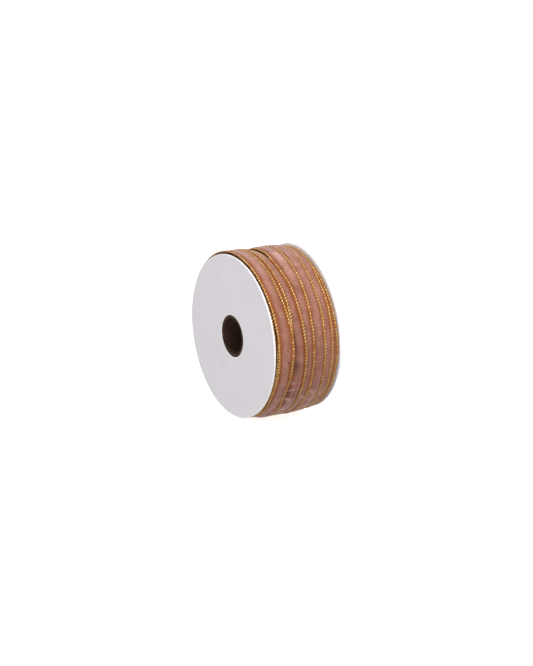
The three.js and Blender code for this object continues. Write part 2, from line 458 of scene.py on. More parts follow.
def gold_material(name):
    m = Nodes(name)
    a = m.attribute("thread")            # (along, round, strand) in mm
    v = a.outputs["Vector"]
    ridge = m.attribute("ridge")
    painted_glint = m.attribute("painted_glint")
    glint = m.noise(m.scaled(v, (1.6, 1.4, 1.0)), 1.0, 2, 0.7)
    fine = m.noise(m.scaled(v, (7.0, 3.0, 1.0)), 1.0, 2, 0.6)
    cell = m.voronoi(m.scaled(v, (2.4, 2.0, 1.0)), 1.0)
    # painted shade: the valleys between the beads are painted dark, the crests bright
    base = m.mix(m.ramp(ridge.outputs["Fac"], 0.20, 0.85), srgb(70, 34, 6), srgb(218, 138, 40))
    # painted glints: brighter gold in patches and near-white flecks on the beads
    base = m.mix(m.ramp(glint, 0.42, 0.70, 0.0, 0.40), base, srgb(238, 168, 64))
    base = m.mix(m.math("MULTIPLY", painted_glint.outputs["Fac"], 0.82, clamp=True), base, srgb(255, 234, 162))
    base = m.mix(m.ramp(fine, 0.30, 0.58, 0.34, 0.0), base, srgb(94, 50, 14))
    m.link(base, m.bsdf.inputs["Base Color"])
    m.bsdf.inputs["Metallic"].default_value = 0.35
    m.link(m.ramp(fine, 0.3, 0.7, 0.20, 0.42), m.bsdf.inputs["Roughness"])
    m.bsdf.inputs["Specular IOR Level"].default_value = 0.6
    m.link(m.bump(cell.outputs["Distance"], 0.8, 0.00022), m.bsdf.inputs["Normal"])
    return m.mat


def board_material(name):
    m = Nodes(name)
    geo = m.add("ShaderNodeTexCoord")
    v = geo.outputs["Object"]
    fibre = m.noise(m.scaled(v, (900, 900, 260)), 1.0, 4, 0.6, 0.3)
    cloud = m.noise(m.scaled(v, (55, 55, 55)), 1.0, 3, 0.5)
    speck = m.voronoi(m.scaled(v, (420, 420, 420)), 1.0)
    cut = m.attribute("cut")             # 1 on the die-cut edge
    face = m.mix(m.ramp(cloud, 0.30, 0.70), srgb(234, 230, 231), srgb(237, 233, 234))
    face = m.mix(m.ramp(fibre, 0.30, 0.70, 0.10, 0.0), face, srgb(208, 203, 207))
    face = m.mix(m.ramp(speck.outputs["Distance"], 0.0, 0.06, 0.16, 0.0), face, srgb(190, 186, 188))
    edge = m.mix(m.ramp(fibre, 0.35, 0.65), srgb(238, 235, 230), srgb(250, 249, 247))
    greying = m.attribute("greying")
    painted_bounce_light = m.attribute("painted_bounce_light")         # painted light: the rear board's inner face painted brighter, for light held between board and winding
    face = m.mix(m.math("MULTIPLY", painted_bounce_light.outputs["Fac"], 1.0, clamp=True), face, srgb(255, 253, 254))
    edge = m.mix(m.math("MULTIPLY", painted_bounce_light.outputs["Fac"], 1.0, clamp=True), edge, srgb(254, 250, 251))
    base = m.mix(cut.outputs["Fac"], face, edge)
    base = m.mix(m.math("MULTIPLY", greying.outputs["Fac"], 0.35, clamp=True), base, srgb(172, 168, 172))
    m.link(base, m.bsdf.inputs["Base Color"])
    m.link(m.ramp(fibre, 0.3, 0.7, 0.52, 0.66), m.bsdf.inputs["Roughness"])
    m.bsdf.inputs["Specular IOR Level"].default_value = 0.32
    m.bsdf.inputs["Coat Weight"].default_value = 0.04
    m.bsdf.inputs["Coat Roughness"].default_value = 0.35
    m.link(m.bump(fibre, 0.25, 0.00004), m.bsdf.inputs["Normal"])
    return m.mat


def core_material(name):
    m = Nodes(name)
    geo = m.add("ShaderNodeTexCoord")
    v = geo.outputs["Object"]
    fibre = m.noise(m.scaled(v, (700, 260, 700)), 1.0, 4, 0.65, 0.2)
    mottling = m.noise(m.scaled(v, (120, 90, 120)), 1.0, 3, 0.5)
    ply = m.attribute("ply")
    base = m.mix(m.ramp(mottling, 0.3, 0.7), srgb(50, 32, 24), srgb(68, 45, 33))
    base = m.mix(m.ramp(fibre, 0.40, 0.75, 0.0, 0.35), base, srgb(90, 62, 46))
    base = m.mix(m.math("MULTIPLY", ply.outputs["Fac"], 0.7, clamp=True), base, srgb(22, 13, 10))
    m.link(base, m.bsdf.inputs["Base Color"])
    m.link(m.ramp(fibre, 0.3, 0.7, 0.70, 0.90), m.bsdf.inputs["Roughness"])
    m.bsdf.inputs["Specular IOR Level"].default_value = 0.25
    m.link(m.bump(fibre, 0.5, 0.0001), m.bsdf.inputs["Normal"])
    return m.mat


def glue_material(name):
    m = Nodes(name)
    geo = m.add("ShaderNodeTexCoord")
    v = geo.outputs["Object"]
    n1 = m.noise(m.scaled(v, (400, 400, 400)), 1.0, 3, 0.5)
    m.link(m.mix(m.ramp(n1, 0.3, 0.7), srgb(214, 204, 170), srgb(232, 225, 198)), m.bsdf.inputs["Base Color"])
    m.link(m.ramp(n1, 0.3, 0.7, 0.22, 0.45), m.bsdf.inputs["Roughness"])
    m.link(m.bump(n1, 0.4, 0.0003), m.bsdf.inputs["Normal"])
    return m.mat


def paper_tape_material(name):
    m = Nodes(name)
    geo = m.add("ShaderNodeTexCoord")
    v = geo.outputs["Object"]
    crepe = m.noise(m.scaled(v, (300, 1400, 300)), 1.0, 3, 0.6)
    m.link(m.mix(m.ramp(crepe, 0.3, 0.7), srgb(206, 188, 150), srgb(226, 212, 178)), m.bsdf.inputs["Base Color"])
    m.link(m.ramp(crepe, 0.3, 0.7, 0.6, 0.8), m.bsdf.inputs["Roughness"])
    m.link(m.bump(crepe, 0.6, 0.0002), m.bsdf.inputs["Normal"])
    return m.mat


def clear_tape_material(name):
    m = Nodes(name)
    geo = m.add("ShaderNodeTexCoord")
    v = geo.outputs["Object"]
    ripple = m.noise(m.scaled(v, (260, 90, 260)), 1.0, 3, 0.5)
    m.link(m.mix(m.ramp(ripple, 0.3, 0.7), srgb(236, 230, 222), srgb(246, 243, 238)), m.bsdf.inputs["Base Color"])
    m.link(m.ramp(ripple, 0.3, 0.7, 0.10, 0.26), m.bsdf.inputs["Roughness"])
    m.link(m.bump(ripple, 0.35, 0.0002), m.bsdf.inputs["Normal"])
    m.bsdf.inputs["Alpha"].default_value = 0.17
    return m.mat


VELVET = velvet_material("pink_velvet")
VELVET_SHADED_COPY = velvet_material("wound_velvet_painted_shade", shaded_copy=True)
GOLD = gold_material("gold_lurex")
BOARD = board_material("white_board")
CORE = core_material("brown_core_card")
GLUE = glue_material("dried_glue")
PAPER_TAPE = paper_tape_material("crepe_paper_tape")
CLEAR_TAPE = clear_tape_material("clear_tape_film")


def dress(obj, material):
    obj.data.materials.clear()
    obj.data.materials.append(material)


# ------------------------------------------------------------------------------------------
# Ribbon pieces
# ------------------------------------------------------------------------------------------
ACROSS = 29
V_U = np.linspace(-1, 1, ACROSS)
V_U = np.sign(V_U) * (1 - (1 - np.abs(V_U)) ** 1.15) * (EDGE_C + 0.05)


def creases(a, u, n):
    """Crushed and creased places in the pile: height in mm, and how much painted shade and painted highlight each gets.
    """
    h = np.zeros(np.broadcast(a, u).shape)
    dark, light = h.copy(), h.copy()
    r = np.random.default_rng(100 + n)
    marks = []
    for _ in range(13):
        marks.append((r.uniform(-24, 308), r.uniform(-3, 3), r.uniform(0.5, 1.3), r.uniform(1.0, 2.6),
                      r.uniform(-0.12, 0.05), r.uniform(-0.35, 0.35)))
    if n == 3:      # the badly crushed stretch
        marks += [(81, -3.4, 2.6, 1.0, -0.30, 0.0), (86, -2.0, 1.6, 1.2, -0.12, 0.2), (99, -2.2, 3.2, 1.8, -0.22, 0.05),
                  (95, 0.8, 1.5, 1.6, 0.08, 0.2), (118, -2.2, 0.7, 1.4, 0.26, -0.3), (121, -4.1, 3.4, 0.75, -0.60, 0.0),
                  (127.5, -2.4, 0.6, 1.8, 0.34, 0.35), (124, 0.2, 2.2, 1.8, -0.16, 0.1), (133, -3.6, 1.6, 0.8, -0.30, 0.0),
                  (98, 0, 15, 6, -0.07, 0.0), (112, -2.9, 0.6, 1.0, 0.20, 0.4),
                  (141, -1.6, 0.6, 2.6, 0.30, 0.25), (145, 0.8, 0.9, 2.4, -0.22, 0.1), (148, -0.8, 0.6, 2.6, 0.22, -0.1),
                  (152, -1.5, 0.8, 2.4, -0.16, 0.2), (66, 0.5, 1.6, 2.4, -0.10, 0.2)]
    if n == 4:
        marks += [(98, 0, 15, 6, -0.06, 0.0), (127, 1.8, 0.6, 1.8, 0.20, 0.5), (123, 1.2, 1.2, 2.0, -0.11, 0.3), (32, 0.0, 1.4, 2.2, 0.08, 0.3),
                  (20, 1.0, 1.2, 1.8, 0.10, 0.3), (139, 0.8, 1.2, 2.6, -0.12, 0.3), (143, 0.6, 0.6, 2.0, 0.18, -0.5),
                  (10, 0.2, 1.6, 1.8, 0.18, 0.7), (16, 0.8, 1.2, 2.0, 0.16, 0.6), (27, -0.6, 0.5, 1.8, 0.12, -0.9),
                  (46, 0.5, 2.2, 2.0, -0.10, 0.2), (150, 0.5, 0.9, 2.0, 0.18, 0.3)]
    if n == 5:
        marks += [(123, -1.2, 0.6, 1.6, 0.24, 0.6), (119, -0.6, 1.3, 2.4, -0.11, 0.3), (131, 0.8, 0.6, 1.8, 0.18, -0.5),
                  (136, 0.3, 1.2, 2.4, -0.11, 0.2), (142, 1.0, 0.6, 2.0, 0.18, 0.5), (24, -0.6, 1.6, 1.6, 0.10, 0.5), (104, 0, 12, 6, -0.05, 0.0)]
    if n == 6:
        marks += [(128, 1.0, 0.6, 1.8, 0.16, 0.4), (134, 0.8, 1.1, 2.0, -0.10, 0.2), (140, 0.8, 0.6, 1.8, 0.16, -0.4)]
    if n == 1:
        marks += [(112, 0.4, 0.9, 2.4, 0.08, 0.2), (122, 0.5, 0.9, 2.6, -0.10, 0.0), (4, 0, 1.5, 2.4, 0.08, 0.2),
                  (138, 0.4, 0.8, 2.4, 0.12, 0.2), (146, 0.2, 1.0, 2.4, -0.12, 0.1)]
    # painted highlight patches where the sheen shows brightest
    painted_highlight_patches = {1: [(25, 0.3, 5, 2.2, 0.38), (12, 0.5, 4, 2.0, 0.28), (38, -0.5, 3, 2.0, 0.22), (136, 0.5, 9, 3, 0.22)],
            3: [(140, 0.0, 8, 3, 0.25)], 4: [(10, 0.3, 4, 2.2, 0.34), (20, 0.3, 6, 2.0, 0.34), (32, 0.6, 4, 2.0, 0.26), (134, 0.5, 8, 3, 0.28)],
            5: [(14, 0.2, 7, 2.0, 0.16), (34, 0.5, 5, 1.6, 0.20), (130, 0.0, 9, 3, 0.34)],
            6: [(50, 0.5, 8, 2.0, 0.20), (130, 0.5, 9, 3, 0.28)]}
    for a0, u0, wa, wu, strength in painted_highlight_patches.get(n, []):
        s = (a - a0 + 180) % 360 - 180
        light = light + strength * np.exp(-0.5 * (s / wa) ** 2 - 0.5 * ((u - u0) / wu) ** 2)
    for a0, u0, wa, wu, amp, slant in marks:
        s = ((a - a0 + 180) % 360 - 180) * 0.88 - slant * (u - u0)
        g = np.exp(-0.5 * (s / wa) ** 2 - 0.5 * ((u - u0) / wu) ** 2)
        h = h + amp * g
        if amp < 0:
            dark = dark + min(1.0, -amp * 3.2) * g
        else:
            light = light + min(1.0, amp * 3.0) * g
    return h, np.clip(dark, 0, 1), np.clip(light, 0, 1)


def tucked(cols, n):
    """How far the front border of turn 3 is folded under, where the turns beside it leave more than its width."""
    return smoothstep(70, 84, cols) * (1 - smoothstep(146, 162, cols)) if n == 3 else 0.0 * cols


def velvet_strip(name, cols, centre, under, n, beside=None):
    """A band of velvet with a top, an underside and closed sides. `beside` is the place of the next turn's rear
    border, which lies over this one."""
    a = cols[:, None]
    u = V_U[None, :]
    low = np.stack([np.interp(V_U, U, row) for row in under])
    body = VELVET_T * (1 - 0.30 * smoothstep(2.7, 4.2, np.abs(u)))
    crown = 0.22 * (1 - (np.abs(u) / EDGE_C) ** 2.2)          # the pile stands fuller in the middle
    run = a + 360.0 * n                 # the ribbon is one length, so its unevenness runs on from turn to turn
    wave = 0.05 * hash_noise(40)(run * 1.87, u * 2.0) + 0.035 * hash_noise(60)(run * 6.53, u * 3.0)
    h, dark, light = creases(a, u, n)
    edge_ease = 1 - smoothstep(3.3, 4.2, np.abs(u))
    grain = RNG.normal(0, 0.012, (len(cols), ACROSS))
    fold = tucked(cols, n)[:, None] * smoothstep(2.4, 4.4, -u)
    roll = 0.85 * tucked(cols, n)[:, None] * smoothstep(3.5, 4.4, -u)
    top = low + body + crown + (wave + h) * edge_ease + grain - roll
    bottom = low + 0.10 - roll
    y = centre[:, None] + u - 0.70 * fold
    if beside is not None:              # painted shade along the border that lies over it
        gap = y - beside[:, None]
        dark = np.clip(dark + 0.42 * np.exp(-np.clip(gap, 0, None) / 0.55) * (gap > -2), 0, 1)
    verts = np.concatenate([place(a, top, y).reshape(-1, 3), place(a, bottom, y).reshape(-1, 3)])
    k = len(cols)
    off = k * ACROSS
    faces = [grid_faces(k, ACROSS, flip=True), grid_faces(k, ACROSS, offset=off)]
    i = np.arange(k - 1)
    for j, flip in ((0, True), (ACROSS - 1, False)):
        f = np.stack([i * ACROSS + j, (i + 1) * ACROSS + j, (i + 1) * ACROSS + j + off, i * ACROSS + j + off], -1)
        faces.append(f[:, ::-1] if flip else f)
    j = np.arange(ACROSS - 1)
    for row, flip in ((0, False), (k - 1, True)):
        f = np.stack([row * ACROSS + j, row * ACROSS + j + 1, row * ACROSS + j + 1 + off, row * ACROSS + j + off], -1)
        faces.append(f[:, ::-1] if flip else f)
    s = np.radians(run) * 50.5
    ribbon = np.stack(np.broadcast_arrays(s, u + 1.9 * fold, 0.0), -1).reshape(-1, 3)
    dark, light = dark.reshape(-1), light.reshape(-1)
    obj = make_object(name, verts, faces, {
        "ribbon": np.concatenate([ribbon, ribbon]),
        # the underside is painted darker: painted shade
        "crush_and_painted_shade": np.concatenate([dark, 0.4 + 0 * dark]),
        "painted_highlight": np.concatenate([light, 0 * light]),
    })
    sharpen(obj, 60)                     # the cut ends stay square, so no line shows where one turn meets the next
    return obj


def gold_tube(a_from, a_to, cols, centre, radius, seed):
    """Vertices, faces and attributes of one beaded gold edge, between two angles. A thread is lashed over the
    ribbon's edge, so it stands in slanted beads, each a little unlike the next."""
    pitch = 0.98
    around = 12
    length = math.radians(a_to - a_from) * 50.6
    rows = int(length / (pitch / 5.0))
    a = np.linspace(a_from, a_to, rows)
    s = np.radians(a) * 50.6
    c = np.interp(a, cols, centre)
    r = np.interp(a, cols, radius)
    noise = np.random.default_rng(seed + 1000)
    beads = noise.normal(0, 1, int(length / pitch) + 8)
    jog = noise.normal(0, 1, int(length / pitch) + 8)
    phase = (s - s[0]) / pitch + 0.5
    b = np.interp(phase, np.arange(len(beads)), beads)
    jg = np.interp(phase, np.arange(len(jog)), jog)
    th = np.linspace(0, 2 * np.pi, around, endpoint=False)[None, :]
    lean = 0.34 * np.cos(th)                                   # beads lean across the edge
    turn = phase[:, None] + lean + 0.06 * jg[:, None]
    wrap = np.abs(np.sin(np.pi * turn))
    ridge = wrap ** 0.75
    grow = (0.74 + 0.32 * ridge) * (1 + 0.05 * b[:, None])
    ply = np.floor(turn).astype(int)
    # painted glints: every other ply gets bright flecks at random, the plies between are painted duller
    lit = noise.random(int(length / pitch) + 12)
    bright = np.arange(len(lit)) % 2 == 0
    lit = np.where(bright, np.where(lit > 0.25, 0.50 + 0.50 * lit, 0.20), 0.16 * lit)
    swell = 0.78 + 0.22 * np.sin(s / 9.0 + seed) * np.sin(s / 3.7 + 2 * seed)
    ply = np.clip(ply, 0, len(lit) - 1)
    painted_glint = lit[ply] * smoothstep(0.30, 0.80, wrap) * swell[:, None]
    dull = 1.0 - bright[ply]
    grow = grow * (1 - 0.07 * dull)
    ridge = ridge * (1 - 0.40 * dull)
    hw, hh = EDGE_W / 2, EDGE_H / 2
    dy = hw * np.cos(th) * grow + 0.035 * jg[:, None]
    dr = hh * np.sin(th) * grow * np.where(np.sin(th) < 0, 0.82, 1.0) + 0.02 * b[:, None]
    verts = place(a[:, None], r[:, None] + dr, c[:, None] + dy).reshape(-1, 3)
    faces = [grid_faces(rows, around, closed_cols=True)]
    thread = np.stack(np.broadcast_arrays(s[:, None] + 0 * th, th * 0.55, seed * 1.7), -1).reshape(-1, 3)
    # end caps: a vertex in the middle of each end
    first, last = verts[:around].mean(0), verts[-around:].mean(0)
    n = len(verts)
    verts = np.concatenate([verts, [first, last]])
    j = np.arange(around)
    cap0 = np.stack([j, (j + 1) % around, np.full(around, n)], -1)
    e = (rows - 1) * around
    cap1 = np.stack([e + (j + 1) % around, e + j, np.full(around, n + 1)], -1)
    thread = np.concatenate([thread, thread[:1], thread[-1:]])
    ridge = np.concatenate([np.broadcast_to(ridge, (rows, around)).reshape(-1), [0.5, 0.5]])
    painted_glint = np.concatenate([np.broadcast_to(painted_glint, (rows, around)).reshape(-1), [0.0, 0.0]])
    return verts, faces + [cap0, cap1], thread, ridge, painted_glint


def joined(name, parts):
    verts, faces, thread, ridge, painted_glint = [], [], [], [], []
    count = 0
    for v, fs, t, rd, sp in parts:
        verts.append(v)
        faces += [f + count for f in fs]
        thread.append(t)
        ridge.append(rd)
        painted_glint.append(sp)
        count += len(v)
    return make_object(name, np.concatenate(verts), faces,
                       {"thread": np.concatenate(thread), "ridge": np.concatenate(ridge),
                        "painted_glint": np.concatenate(painted_glint)})


def edge_radius(under, side):
    """Where the gold edge's middle lies: on what is under it."""
    near = [np.interp(side * (EDGE_C + d), U, np.arange(len(U))) for d in (-0.4, 0, 0.4)]
    cols = np.stack([np.array([np.interp(k, np.arange(len(U)), row) for row in under]) for k in near])
    return cols.max(0) + EDGE_H * 0.44


for n in range(1, TURNS + 1):
    c, under = passes[n]
    sel = slice(0, len(COLS))
    if n == 1:
        sel = slice(int(round((-30 - SEAM) / STEP)), len(COLS))
    cols = COLS[sel]
    beside = passes[n - 1][0][sel] + EDGE_C + EDGE_W / 2 if n > 1 else None
    velvet = velvet_strip(f"velvet_turn_{n}_ribbon", cols, c[sel], under[sel], n, beside)
    dress(velvet, VELVET)
    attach(velvet, "spool")
    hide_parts(f"velvet_turn_{n}")
    tubes = []
    for side in (-1, 1):
        turn_in = tucked(COLS, n) if side < 0 else 0.0 * COLS
        tubes.append(gold_tube(cols[0], cols[-1], COLS, c + side * EDGE_C + 0.8 * turn_in,
                               edge_radius(under, side) - 1.5 * turn_in, 11 * n + side))
    gold = joined(f"gold_edges_turn_{n}", tubes)
    dress(gold, GOLD)
    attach(gold, "spool")
    if n == 1:
        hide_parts("gold_front_edge_turn_1", "gold_rear_edge_turn_1")
    else:
        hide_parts(f"gold_rear_edge_turn_{n}")

# the free end: from its cut end up to where it joins turn 1
join = int(round((-30 - SEAM) / STEP)) + 1
t_cols = np.concatenate([tail_cols[:-1] - 360, COLS[:join]])
t_c = np.concatenate([TAIL_C[:-1], passes[1][0][:join]])
t_under = np.concatenate([tail_under[:-1], passes[1][1][:join]])
# ease the small step where the tail's own layer begins
lift_in = smoothstep(-60, -38, t_cols)[:, None]
jump = (passes[1][1][0] - tail_under[-1])[None, :]
t_under = t_under + np.where(t_cols[:, None] < SEAM, jump * lift_in, 0)
tail = velvet_strip("tail_velvet_ribbon", t_cols, t_c, t_under, 0)
dress(tail, VELVET)
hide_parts("tail_velvet")
tubes = [gold_tube(t_cols[0], t_cols[-1], t_cols, t_c + side * EDGE_C, edge_radius(t_under, side), 5 + side)
         for side in (-1, 1)]
tail_gold = joined("tail_gold_edges", tubes)
dress(tail_gold, GOLD)
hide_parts("tail_gold_front_edge", "tail_gold_rear_edge")


def on_drum(deg, r, y):
    p = place(np.array(float(deg)), np.array(float(r)), np.array(float(y))) * MM
    return tuple(float(v) for v in p)


for piece in (tail, tail_gold):
    on_drum(-33, 50.9, 0)
    on_drum(-50, 50.9, 0)
    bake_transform(piece)


# ------------------------------------------------------------------------------------------
# Clear tape over the tail's end, with a pinked cut at both ends
# ------------------------------------------------------------------------------------------
def tape():
    rows, across = 60, 33
    y = np.linspace(-21.3, -9.6, across)
    a = np.linspace(-99, -75, rows)
    tooth = 0.55 * np.abs(((np.arange(across) * 0.5) % 1) - 0.5) * 2
    A = np.repeat(a[:, None], across, 1)
    w = np.linspace(1, -1, rows)[:, None]
    A = A + w ** 9 * tooth[None, :]
    col = (A - SEAM) % 360
    surface = np.zeros_like(A)
    for j in range(across):
        heights = np.array([np.interp(y[j], YG, row) for row in H])
        surface[:, j] = np.interp(col[:, j], COLS - SEAM, heights)
    # a film spans small steps in the surface rather than following them
    k = np.array([1, 2, 3, 4, 3, 2, 1], float)
    k /= k.sum()
    for _ in range(3):
        pad = np.pad(surface, ((3, 3), (0, 0)), mode="edge")
        blurred = sum(k[i] * pad[i:i + rows] for i in range(7))
        pad = np.pad(blurred, ((0, 0), (3, 3)), mode="edge")
        blurred = sum(k[i] * pad[:, i:i + across] for i in range(7))
        surface = np.maximum(surface, blurred)
    r = surface + 0.30
    top = place(A, r + 0.06, y[None, :]).reshape(-1, 3)
    low = place(A, r, y[None, :]).reshape(-1, 3)
    off = rows * across
    faces = [grid_faces(rows, across, flip=True), grid_faces(rows, across, offset=off)]
    i = np.arange(rows - 1)
    for j, flip in ((0, True), (across - 1, False)):
        f = np.stack([i * across + j, (i + 1) * across + j, (i + 1) * across + j + off, i * across + j + off], -1)
        faces.append(f[:, ::-1] if flip else f)
    j = np.arange(across - 1)
    for row, flip in ((0, False), (rows - 1, True)):
        f = np.stack([row * across + j, row * across + j + 1, row * across + j + 1 + off, row * across + j + off], -1)
        faces.append(f[:, ::-1] if flip else f)
    return make_object("end_tape_film", np.concatenate([top, low]), faces)


end_tape = tape()
dress(end_tape, CLEAR_TAPE)
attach(end_tape, "ribbon_tail")
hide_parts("end_tape")


# ------------------------------------------------------------------------------------------
# Turned pieces: flanges, core, pack
# ------------------------------------------------------------------------------------------
def turned(name, outline, segments, attributes=None, wobble=None):
    """A closed outline of (y, r) turned about the Y axis."""
    o = np.array(outline, float)
    area = np.sum(o[:, 0] * np.roll(o[:, 1], -1) - np.roll(o[:, 0], -1) * o[:, 1])
    if area < 0:
        o = o[::-1]
        if attributes:
            attributes = {k: np.asarray(v)[::-1] for k, v in attributes.items()}
    a = np.linspace(0, 360, segments, endpoint=False)[:, None]
    y = np.broadcast_to(o[None, :, 0], (segments, len(o))).copy()
    r = np.broadcast_to(o[None, :, 1], (segments, len(o))).copy()
    if wobble:
        y, r = wobble(a, y, r)
    verts = place(a, r, y).reshape(-1, 3)
    faces = [grid_faces(segments, len(o), closed_rows=True, closed_cols=True)]
    extra = {k: np.broadcast_to(np.asarray(v)[None, :], (segments, len(o))).reshape(-1) if np.ndim(v) == 1 else v
             for k, v in (attributes or {}).items()}
    return make_object(name, verts, faces, extra), a, y, r


def flange(name, side, node):
    out, inn = side * HALF_W, side * INNER_Y
    e = 0.10
    size = FLANGE_R - 0.25 if side < 0 else FLANGE_R
    ring = [(out, CORE_HOLE_R + e)]
    rad = list(np.linspace(CORE_HOLE_R + 1.2, size - 1.2, 90))
    ring += [(out, r) for r in rad]
    ring += [(out, size - e), (out - side * 0.05, size - 0.06), (out - side * 0.16, size)]
    ring += [(out - side * FLANGE_T / 2, size + 0.015)]
    if side < 0:                         # the die presses the rim thinner on the inside
        ring += [(inn - 0.50, size), (inn - 0.42, size - 0.05), (inn - 0.20, size - 0.30), (inn, size - 0.75)]
    else:
        ring += [(inn + side * 0.16, size), (inn + side * 0.05, size - 0.06), (inn, size - e)]
    ring += [(inn, r) for r in rad[::-3]]
    ring += [(inn, CORE_HOLE_R + 0.08), (inn + side * 0.1, CORE_HOLE_R + 0.01), (out - side * 0.08, CORE_HOLE_R + 0.01),
             (out - side * 0.02, CORE_HOLE_R + 0.03)]
    cut = [1.0 if abs(r - size) < 0.14 or r < CORE_HOLE_R + 0.12 else 0.0 for _, r in ring]

    def wobble(a, y, r):
        warp = 0.06 * hash_noise(80 + int(side))(a, 0 * y) * (r / FLANGE_R) ** 2    # board is never quite flat
        nick = 0.03 * hash_noise(90 + int(side))(a * 6.0, y * 3)
        return y + warp * 0.6, r + np.where(np.abs(r - size) < 0.3, nick, 0)

    # painted light on the rear board's inner face
    painted_bounce_light = [1.0 if side > 0 and (side * y < HALF_W - 0.1) else 0.0 for y, r in ring]
    obj, a, y, r = turned(name, ring, 360, {"cut": cut, "painted_bounce_light": painted_bounce_light}, wobble)
    # faint scuffs on the face
    x3 = np.array([v.co[:] for v in obj.data.vertices]) / MM
    greying = np.zeros(len(x3))
    rr = np.hypot(x3[:, 0], x3[:, 2])
    greying += 0.4 * smoothstep(size - 0.5, size - 0.1, rr) * (np.abs(rr - size) > 0.14)
    if side < 0:                         # an arc scuffed into the face, and a few short rubs
        bearing = np.degrees(np.arctan2(x3[:, 0], x3[:, 2])) % 360
        greying += 0.55 * np.exp(-0.5 * ((rr - 23.5) / 0.35) ** 2) * smoothstep(196, 214, bearing) * (1 - smoothstep(246, 268, bearing))
        greying += 0.35 * np.exp(-0.5 * ((rr - 31.0) / 0.5) ** 2) * np.exp(-0.5 * ((bearing - 150) / 4) ** 2)
    else:                                # the rim is greyed round its lower side, darker towards the bottom
        bearing = np.degrees(np.arctan2(x3[:, 0], x3[:, 2])) % 360
        greying += 1.9 * smoothstep(84, 112, bearing) * (1 - smoothstep(225, 250, bearing)) * smoothstep(size - 0.5, size - 0.1, rr)
    obj.data.attributes.new("greying", "FLOAT", "POINT").data.foreach_set("value", greying.astype(np.float32))
    sharpen(obj, 50)
    dress(obj, BOARD)
    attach(obj, "spool")
    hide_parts(node)
    return obj


front = flange("front_flange_disc", -1.0, "front_flange")
rear = flange("rear_flange_disc", 1.0, "rear_flange")


def core():
    segments, rows = 192, 150
    a = np.linspace(0, 360, segments, endpoint=False)[:, None]
    end = HALF_W - 0.12
    pitch = 34.0
    yin = np.linspace(-end + 0.15, end - 0.15, rows)
    outline = [(-end + 0.15, CORE_HOLE_R - 0.02), (-end, CORE_HOLE_R - 0.10), (-end, CORE_IN_R + 0.25)]
    outline = ([(y, CORE_IN_R) for y in yin[::-1]] + [(-end, CORE_IN_R + 0.2), (-end, CORE_HOLE_R - 0.10),
               (-end + 0.15, CORE_HOLE_R - 0.02)] + [(y, CORE_HOLE_R - 0.02) for y in np.linspace(-end + 1, end - 1, 12)]
               + [(end - 0.15, CORE_HOLE_R - 0.02), (end, CORE_HOLE_R - 0.10), (end, CORE_IN_R + 0.2)])
    seam = []

    def wobble(a, y, r):
        phase = 2 * np.pi * (y / pitch + a / 360.0)
        c = np.cos(phase)
        groove = smoothstep(0.985, 1.0, c)
        seam.append(groove)
        inside = r < CORE_IN_R + 0.05
        return y, r + np.where(inside, 0.22 * groove + 0.03 * hash_noise(21)(a * 3, y * 2), 0)

    obj, *_ = turned("core_tube_card", outline, segments, None, wobble)
    obj.data.attributes.new("ply", "FLOAT", "POINT").data.foreach_set("value", seam[0].reshape(-1).astype(np.float32))
    sharpen(obj, 60)
    dress(obj, CORE)
    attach(obj, "spool")
    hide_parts("core_tube")
    return obj


core_obj = core()


def pack():
    """The wound layers under the outer one, as they show in the gaps between turns."""
    rows = 361
    a = np.linspace(SEAM, SEAM + 360, rows)[:-1][:, None]
    ys = np.linspace(-21.75, 21.75, 150)[None, :]
    r = pack_radius(a, ys)
    lane = (ys + 21.9 + 2.2 * a / 360.0) % 6.1
    gold = np.exp(-0.5 * ((lane - 3.0) / 0.55) ** 2)
    r = r - 0.30 + 0.45 * gold - 0.35 * np.exp(-0.5 * ((lane - 4.1) / 0.35) ** 2)
    r = r - 0.8 * smoothstep(21.0, 21.75, np.abs(ys)) - 1.0 * smoothstep(20.5, 21.3, -ys)
    inner = np.full_like(r, 44.0)
    n, k = len(a), ys.shape[1]
    verts = np.concatenate([place(a, r, ys).reshape(-1, 3), place(a, inner, ys).reshape(-1, 3)])
    off = n * k
    i = np.arange(n)
    i2 = (i + 1) % n
    faces = [grid_faces(n, k, closed_rows=True, flip=True), grid_faces(n, k, closed_rows=True, offset=off)]
    for j, flip in ((0, True), (k - 1, False)):
        f = np.stack([i * k + j, i2 * k + j, i2 * k + j + off, i * k + j + off], -1)
        faces.append(f[:, ::-1] if flip else f)
    s = np.radians(a) * 49 + 0 * ys
    ribbon = np.stack([s, lane - 3.0 + 0 * s, 0.2 + 0 * s], -1).reshape(-1, 3)
    g = (gold + 0 * s).reshape(-1)
    obj = make_object("wound_layers", verts, faces, {
        "ribbon": np.concatenate([ribbon, ribbon]), "crush_and_painted_shade": np.concatenate([0 * g, 0 * g]),
        "painted_highlight": np.concatenate([0 * g, 0 * g]), "gold": np.concatenate([g, 0 * g])})
    # painted shade: the lower layers take the darker velvet copy
    dress(obj, VELVET_SHADED_COPY)
    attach(obj, "spool")
    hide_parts("inner_winding")
    return obj


wound = pack()


def inner_threads():
    parts = []
    for k, (y, drop) in enumerate(((-21.2, -1.5), (21.2, -0.6), (-15.4, 0.2))):
        r = pack_radius(COLS[:, None], np.array([[y]]))[:, 0] + drop
        parts.append(gold_tube(SEAM, SEAM + 359.9, COLS, y + 0.12 * np.sin(np.radians(COLS) * 3 + k), r, 300 + k))
    obj = joined("under_layer_edges", parts)
    dress(obj, GOLD)
    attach(obj, "spool")
    return obj


inner_threads()

# carried-over CAD pieces
for node, material, slot in (("front_glue_bead", GLUE, "glue"), ("rear_glue_bead", GLUE, "glue"),
                             ("start_tape", PAPER_TAPE, "paper_tape")):
    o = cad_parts[node]
    o.data.materials.clear()
    o.data.materials.append(material)

# ------------------------------------------------------------------------------------------
# Floor, light and camera
# ------------------------------------------------------------------------------------------
lo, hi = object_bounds()
FLOOR_Z = lo.z
FLOOR_GLOW = 0.82


